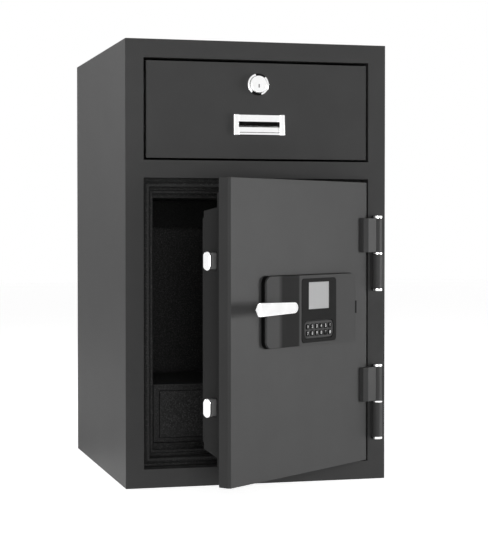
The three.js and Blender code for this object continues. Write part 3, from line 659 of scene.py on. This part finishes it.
def make_lever():
    """Tapered grip with a round end on each side, on a flared neck that passes into the panel."""
    box = shut_box("lever_handle")
    x, z = LEVER_PIVOT.x, LEVER_PIVOT.z
    front, back = box.y0, box.y0 + 12 * MM
    hub, end = 11.2 * MM, 13.9 * MM  # half heights at the pivot and at the free end
    end_radius = 3 * MM
    tip_rings, taper_rings, hub_rings = 5, 8, 12
    rings = []
    for step in range(tip_rings, -1, -1):
        turn = math.pi / 2 * step / tip_rings
        along = box.x0 + end_radius * (1 - math.sin(turn))
        inset = end_radius * 0.8 * (1 - math.cos(turn))
        rings.append(lever_section(along, end, front, back, z, inset))
    for step in range(1, taper_rings + 1):
        share = step / taper_rings
        along = box.x0 + end_radius + (x - box.x0 - end_radius) * share
        rings.append(lever_section(along, end + (hub - end) * share, front, back, z))
    for step in range(1, hub_rings + 1):
        turn = math.pi / 2 * step / hub_rings
        rings.append(lever_section(x + hub * math.sin(turn), hub * math.cos(turn), front, back, z))
    grip = loft("lever_grip", rings)
    soften(grip, 0.0, sharp=38.0)
    show(grip, CHROME, "lever", DOOR, ["lever_handle"])
    neck, flare, edge = 8.5 * MM, 1.6 * MM, 0.6 * MM
    buried = back - 3 * MM
    profile = [(0.0, buried), (neck + flare, buried)]
    profile += arc(neck + flare, back + edge + flare, flare, -90, -180, 5)
    profile += [(neck, box.y1 - edge), (neck - edge, box.y1), (0.0, box.y1)]
    stem = lathe("lever_neck", profile, (x, 0.0, z))
    soften(stem, 0.0)
    show(stem, CHROME, "lever", DOOR, ["lever_handle"])


def bolt_ring(x, centre, size, inset=0.0):
    """Rounded section at x about a bolt's axis: size is (half thickness, half height, radius)."""
    y, z = centre
    thick, high, radius = (value - inset for value in size)
    return [(x, a, b) for a, b in rounded(y - thick, y + thick, z - high, z + high, radius, 8)]


def make_bolt(where):
    """Chrome nose with a chamfered end, on a plainer steel shank."""
    box = shut_box(f"bolt_{where}")
    centre = ((box.y0 + box.y1) / 2, box.z)
    half = (box.y1 - box.y0) / 2
    nose = (half, (box.z1 - box.z0) / 2, half - 0.3 * MM)
    shank = (8 * MM, 16.7 * MM, 3 * MM)
    long, chamfer, ease, back_edge = 5 * MM, 1.5 * MM, 0.3 * MM, 0.4 * MM
    seam = 0.02 * MM  # between the nose and the shank
    sections = ((0.0, chamfer + ease), (ease / 2, chamfer), (chamfer, ease / 2), (chamfer + ease, 0.0),
                (long - back_edge, 0.0), (long, back_edge))
    rings = [bolt_ring(box.x0 + back, centre, nose, inset) for back, inset in sections]
    head = loft(f"bolt_nose_{where}", rings)
    soften(head, 0.0, sharp=30.0)
    show(head, CHROME, "bolt_carriage", DOOR, [f"bolt_{where}"])
    ends = (box.x0 + long + seam, box.x1)
    bar = loft(f"bolt_shank_{where}", [bolt_ring(x, centre, shank) for x in ends])
    soften(bar, 0.0)
    show(bar, SATIN, "bolt_carriage", DOOR, [f"bolt_{where}"])


HINGE_BORE = 5.4 * MM
BARREL_RADIUS = 10.8 * MM
HINGE_CENTRE = (HINGE.x, HINGE.y, 0.0)


def tube(name, box, radius, edge):
    """Upright tube about the hinge axis, as tall as box, with chamfered outer edges."""
    profile = [(HINGE_BORE, box.z0), (radius - edge, box.z0), (radius, box.z0 + edge),
               (radius, box.z1 - edge), (radius - edge, box.z1), (HINGE_BORE, box.z1)]
    piece = lathe(name, profile, HINGE_CENTRE, "Z")
    return soften(piece, 0.0)


def make_hinge_leaf(where):
    """The door's half of a hinge: a barrel on a bent strap."""
    box = shut_box(f"hinge_leaf_{where}")
    barrel = tube(f"hinge_leaf_{where}_barrel", box, BARREL_RADIUS, 0.8 * MM)
    show(barrel, DOOR_PAINT, "door", DOOR, [f"hinge_leaf_{where}"])
    base = FRONT - GAP
    outline = [(box.x0, base), (box.x0, FRONT - 9.5 * MM), (box.x0 + 9.5 * MM, FRONT - 16.2 * MM),
               (HINGE.x - 10 * MM, FRONT - 18.6 * MM), (HINGE.x - 8.5 * MM, HINGE.y + 3 * MM),
               (HINGE.x - 4 * MM, base)]
    strap = prism(f"hinge_leaf_{where}_strap", outline, box.z0 + GAP, box.z1 - GAP, "Z")
    soften(strap, 0.7 * MM)
    show(strap, DOOR_PAINT, "door", DOOR, [f"hinge_leaf_{where}"])


def make_hinge_knuckle(where):
    """The frame's half of a hinge: a barrel welded on a low foot."""
    box = Box(f"hinge_knuckle_{where}")
    barrel = tube(f"hinge_frame_{where}_barrel", box, BARREL_RADIUS, 0.8 * MM)
    show(barrel, CASING, "safe_body", nodes=[f"hinge_knuckle_{where}"])
    base, shoulder, top = FRONT - GAP, FRONT - 4 * MM, FRONT - 8 * MM
    outline = [(box.x0, base), (box.x0, shoulder), (HINGE.x - 6 * MM, top),
               (HINGE.x + 6 * MM, top), (box.x1, shoulder), (box.x1, base)]
    foot = prism(f"hinge_frame_{where}_foot", outline, box.z0 + GAP, box.z1 - GAP, "Z")
    bore = circle(HINGE.x, HINGE.y, HINGE_BORE, 48)
    carve(foot, prism("bore", bore, box.z0 - MM, box.z1 + MM, "Z"))
    soften(foot, 0.6 * MM, 2)
    show(foot, CASING, "safe_body", nodes=[f"hinge_knuckle_{where}"])


def make_hinge_pin(where):
    """Riveted pin with a round-edged head at each end, and the washer between the barrels."""
    pin, washer = Box(f"hinge_pin_{where}"), Box(f"hinge_washer_{where}")
    cap, rod, edge = (pin.x1 - pin.x0) / 2, 5 * MM, 1.6 * MM
    tall = pin.z1 - shut_box(f"hinge_leaf_{where}").z1 - GAP
    lower = arc(cap - edge, pin.z0 + edge, edge, -90, 0, 5)
    upper = arc(cap - edge, pin.z1 - edge, edge, 0, 90, 5)
    waist = [(cap, pin.z0 + tall), (rod, pin.z0 + tall), (rod, pin.z1 - tall), (cap, pin.z1 - tall)]
    profile = [(0.0, pin.z0)] + lower + waist + upper + [(0.0, pin.z1)]
    rivet = lathe(f"hinge_rivet_{where}", profile, HINGE_CENTRE, "Z")
    soften(rivet, 0.0)
    show(rivet, CHROME, "safe_body", nodes=[f"hinge_pin_{where}"])
    disc = tube(f"hinge_ring_{where}", washer, (washer.x1 - washer.x0) / 2, 0.9 * MM)
    show(disc, CHROME, "safe_body", nodes=[f"hinge_washer_{where}"])


# ---------- lock panel and keypad ----------

RAMP_REACH = (56 * MM, 106 * MM)  # start and end of the cover's ramp, from its left edge
RAMP_RISE = 5 * MM
PANEL_ROUND = 16 * MM
BEZEL_ROUND = 8 * MM
KEY_SIGNS = "1234567890*#"


def panel_face(x, box):
    """Depth of the panel's face at x: a low zone on the left, a soft ramp, then a high zone."""
    start, end = (box.x0 + reach for reach in RAMP_REACH)
    share = min(max((x - start) / (end - start), 0.0), 1.0)
    eased = share * share * (3 - 2 * share)
    return box.y0 + RAMP_RISE * (1 - eased)


def panel_block(name, box, inset, back):
    """Prism of the panel's profile in plan, trimmed to a round-cornered outline moved in by inset."""
    left, right = box.x0 + inset, box.x1 - inset
    near_round, far_round = 3 * MM, 5 * MM
    start, wide = left + near_round, right - left - near_round - far_round
    steps = 60
    inner = [start + wide * i / steps for i in range(1, steps)]
    near = arc(start, box.y0 + RAMP_RISE + near_round, near_round, 180, 270, 5)
    face = [(x, panel_face(x, box)) for x in inner]
    far = arc(right - far_round, box.y0 + far_round, far_round, -90, 0, 8)
    block = prism(name, [(left, back)] + near + face + far + [(right, back)], box.z0, box.z1, "Z")
    trim = rounded(left, right, box.z0 + inset, box.z1 - inset, PANEL_ROUND - inset, 10)
    return carve(block, prism("trim", trim, box.y0 - MM, box.y1 + MM, "Y"), "INTERSECT")


def grown(box, spare, radius, steps=8):
    """Round-cornered outline of a box in front view, moved outwards by spare."""
    return rounded(box.x0 - spare, box.x1 + spare, box.z0 - spare, box.z1 + spare, radius, steps)


def make_panel():
    """Grey moulded cover over a black skirt, whose black also stands in for the shadow round the
    cover; the cover ramps up from the lever to the keypad, with painted shade on the ramp.
    """
    box = shut_box("lock_panel")
    bezel = shut_box("keypad_bezel")
    split = box.y0 + 9.5 * MM  # between the cover and the skirt
    slot_x, half_wide, half_tall = box.x1 - 5.5 * MM, 3.5 * MM, 13.5 * MM
    slot_floor = box.y0 + 5 * MM
    slot = rounded(slot_x - half_wide, slot_x + half_wide, box.z - half_tall, box.z + half_tall,
                   1.2 * MM, 4)
    neck_hole = 9.7 * MM
    boss = circle(LEVER_PIVOT.x, LEVER_PIVOT.z, neck_hole)
    cover = panel_block("lock_cover", box, 1.2 * MM, split)
    carve(cover, prism("pocket", grown(bezel, GAP, BEZEL_ROUND), box.y0 - MM, bezel.y1 + GAP, "Y"))
    carve(cover, prism("well", key_well(0.0), box.y0 - MM, box.y0 + 5.6 * MM, "Y"))
    carve(cover, prism("slot", slot, box.y0 - MM, slot_floor, "Y"))
    carve(cover, prism("boss", boss, box.y0 - 9 * MM, box.y1 + MM, "Y"))
    soften(cover, 0.9 * MM, 3, 35.0)
    show(cover, PANEL, "door", DOOR, ["lock_panel"])
    # the skirt's black edge and sides are a real base and also paint the shadow round the cover
    skirt = prism("lock_skirt", grown(box, 0.0, PANEL_ROUND, 10), split + 0.05 * MM, box.y1, "Y")
    carve(skirt, prism("boss", boss, box.y0 - 9 * MM, box.y1 + MM, "Y"))
    soften(skirt, 0.5 * MM, 2, 35.0)
    show(skirt, SKIRT_AND_SHADOW, "door", DOOR, ["lock_panel"])
    # a black sheet lining the slot paints the shade inside it
    inside = shrink(slot, 0.1 * MM)
    slot_shade = prism("panel_slot_painted_shade", inside, box.y0 + 0.4 * MM, slot_floor - 0.1 * MM, "Y")
    show(slot_shade, PAINTED_SHADE, "door", DOOR)


def key_well(inset):
    """Outline of the recess around the keys."""
    panel = shut_box("lock_panel")
    x0, z0 = panel.x0 + 123.5 * MM, panel.z0 + 13.5 * MM
    wide, tall, radius = 106.5 * MM, 38 * MM, 12 * MM
    return rounded(x0 + inset, x0 + wide - inset, z0 + inset, z0 + tall - inset, radius - inset, 10)


def key_outline(box, spare=0.0):
    """Outline of a key, or of the hole around it."""
    return grown(box, spare, 3 * MM + spare, 5)


def make_keypad():
    """Black bezel with a display window, and a grey pad with a hole for each key."""
    bezel, screen = shut_box("keypad_bezel"), shut_box("display_window")
    plate = pillow("keypad_plate", grown(bezel, 0.0, BEZEL_ROUND), bezel.y0, bezel.y1, 0.6 * MM)
    window = rectangle(screen.x0 - GAP, screen.x1 + GAP, screen.z0 - GAP, screen.z1 + GAP)
    carve(plate, prism("window", window, bezel.y0 - MM, bezel.y1 + MM, "Y"))
    carve(plate, prism("well", key_well(0.0), bezel.y0 - MM, bezel.y1 + MM, "Y"))
    soften(plate, 0.35 * MM, 2)
    show(plate, BEZEL, "door", DOOR, ["keypad_bezel"])

    film = rectangle(screen.x0, screen.x1, screen.z0, screen.z1)
    glass = pillow("display_glass", film, screen.y0, screen.y1, 0.4 * MM, 3)
    soften(glass, 0.0)
    show(glass, SCREEN, "door", DOOR, ["display_window"])

    keys = {number: shut_box(f"key_{number}") for number in range(1, len(KEY_SIGNS) + 1)}
    well_floor = bezel.y0 + 6.3 * MM
    pad = pillow("keypad_pad", key_well(1.3 * MM), bezel.y0 + 0.5 * MM, well_floor, 1.2 * MM)
    for box in keys.values():
        carve(pad, prism("key_hole", key_outline(box, 0.35 * MM), bezel.y0 - MM, well_floor + MM, "Y"))
    soften(pad, 0.0)
    show(pad, PAD, "door", DOOR)
    for number, box in keys.items():
        make_key(number, box)


def make_key(number, box):
    """Rubber key with a rounded top and its raised sign."""
    cap = pillow(f"keypad_key_{number}", key_outline(box), box.y0, box.y1, 1.1 * MM)
    soften(cap, 0.0)
    show(cap, RUBBER, f"key_{number}", DOOR, [f"key_{number}"])
    words = bpy.data.curves.new("sign", "FONT")
    words.body = KEY_SIGNS[number - 1]
    words.size = 9 * MM
    words.align_x = "CENTER"
    words.align_y = "CENTER"
    words.extrude = 0.15 * MM
    words.offset = 0.35 * MM  # makes the strokes bolder
    drawn = bpy.data.objects.new("sign", words)
    bpy.context.scene.collection.objects.link(drawn)
    bpy.context.view_layer.update()
    mesh = bpy.data.meshes.new_from_object(drawn)
    bpy.data.objects.remove(drawn)
    mesh.name = f"keypad_sign_{number}"
    upright = Matrix.Rotation(math.pi / 2, 4, "X")
    mesh.transform(Matrix.Translation((box.x, box.y0 - 0.1 * MM, box.z)) @ upright)
    sign = bpy.data.objects.new(f"keypad_sign_{number}", mesh)
    bpy.context.scene.collection.objects.link(sign)
    show(sign, PRINT, f"key_{number}", DOOR)


dress_frame()
make_jamb()
make_door_face()
make_drawer_panel()
make_drawer_pull()
make_collar()
make_plug()
make_lever()
for where in ("upper", "lower"):
    make_bolt(where)
    make_hinge_leaf(where)
    make_hinge_knuckle(where)
    make_hinge_pin(where)
make_panel()
make_keypad()

# ---------- camera, floor and light ----------

SENSOR = 36.0  # millimetres, along the picture's longer side
LENS = 106.7215  # focal length in millimetres


def place_camera():
    """Long lens to the left of the safe, turned towards it and tipped down a little."""
    left, ahead, high = 0.9126, 3.2858, 0.5541
    down, right = 1.473, 15.017  # degrees
    data = bpy.data.cameras.new("camera")
    data.sensor_fit = "AUTO"
    data.sensor_width = SENSOR
    data.lens = LENS
    data.clip_end = 50.0
    camera = bpy.data.objects.new("camera", data)
    camera.location = (-left, FRONT - ahead, high)
    camera.rotation_euler = (math.radians(90 - down), 0.0, math.radians(-right))
    bpy.context.scene.collection.objects.link(camera)
    bpy.context.scene.camera = camera


def staged(tree, coordinates, span, mirrored, diffuse, seen):
    """Brightness of the surroundings, by kind of ray.

    Reflections see it fall along Y over span, from the first level of mirrored to the second.
    Diffuse rays and the camera each see one even level.
    """
    place = tree.nodes.new("ShaderNodeTexCoord")
    split = tree.nodes.new("ShaderNodeSeparateXYZ")
    tree.links.new(place.outputs[coordinates], split.inputs["Vector"])
    fall = tree.nodes.new("ShaderNodeMapRange")
    for name, value in zip(("From Min", "From Max", "To Min", "To Max"), span + mirrored):
        fall.inputs[name].default_value = value
    tree.links.new(split.outputs["Y"], fall.inputs["Value"])
    path = tree.nodes.new("ShaderNodeLightPath")
    level = fall.outputs["Result"]
    for ray, value in (("Is Diffuse Ray", diffuse), ("Is Camera Ray", seen)):
        choose = tree.nodes.new("ShaderNodeMix")
        choose.inputs["B"].default_value = value
        tree.links.new(path.outputs[ray], choose.inputs["Factor"])
        tree.links.new(level, choose.inputs["A"])
        level = choose.outputs["Result"]
    return level


def make_floor():
    """Plain white floor just below the safe."""
    reach = 12.0
    bm = bmesh.new()
    bm.faces.new([bm.verts.new((x, y, 0.0)) for x, y in rectangle(-reach, reach, -reach, reach)])
    mesh = bpy.data.meshes.new("floor")
    bm.to_mesh(mesh)
    bm.free()
    material, tree, shader = new_material("floor")
    shader.inputs["Base Color"].default_value = (0.9, 0.9, 0.9, 1.0)
    shader.inputs["Roughness"].default_value = 0.9
    shader.inputs["Emission Color"].default_value = (1.0, 1.0, 1.0, 1.0)
    glow = staged(tree, "Object", span=(0.0, 0.4), mirrored=(0.85, 0.3), diffuse=0.22, seen=0.85)
    tree.links.new(glow, shader.inputs["Emission Strength"])
    floor = bpy.data.objects.new("floor", mesh)
    mesh.materials.append(material)
    bpy.context.scene.collection.objects.link(floor)
    floor.location.z = cad_bounds[0][2] - 0.5 * MM


def area_light(name, place, target, size, radiance):
    """Softbox at place that faces target, as bright as radiance whatever its size."""
    data = bpy.data.lights.new(name, "AREA")
    data.shape = "RECTANGLE"
    data.size, data.size_y = size
    data.energy = radiance * math.pi * size[0] * size[1]
    light = bpy.data.objects.new(name, data)
    light.location = place
    light.rotation_euler = (Vector(target) - Vector(place)).to_track_quat("-Z", "Y").to_euler()
    bpy.context.scene.collection.objects.link(light)


def light_studio():
    """A white backdrop, a dim fill, and three softboxes: right, front and back left."""
    world = bpy.data.worlds.new("studio")
    bpy.context.scene.world = world
    world.use_nodes = True
    tree = world.node_tree
    level = staged(tree, "Generated", span=(0.1, 0.5), mirrored=(1.0, 0.4), diffuse=0.05, seen=1.0)
    background = tree.nodes["Background"]
    background.inputs["Color"].default_value = (1.0, 1.0, 1.0, 1.0)
    tree.links.new(level, background.inputs["Strength"])
    middle = (0.0, 0.0, 0.5)
    area_light("key_right", (4.5, -1.7, 0.35), middle, (1.2, 1.4), 34.0)
    area_light("front", (-0.6, -3.8, 0.7), middle, (1.0, 1.0), 13.8)
    area_light("back_left", (-2.6, 2.2, 1.6), middle, (2.0, 2.0), 3.9)
    bpy.context.scene.view_settings.view_transform = "Standard"


place_camera()
make_floor()
light_studio()
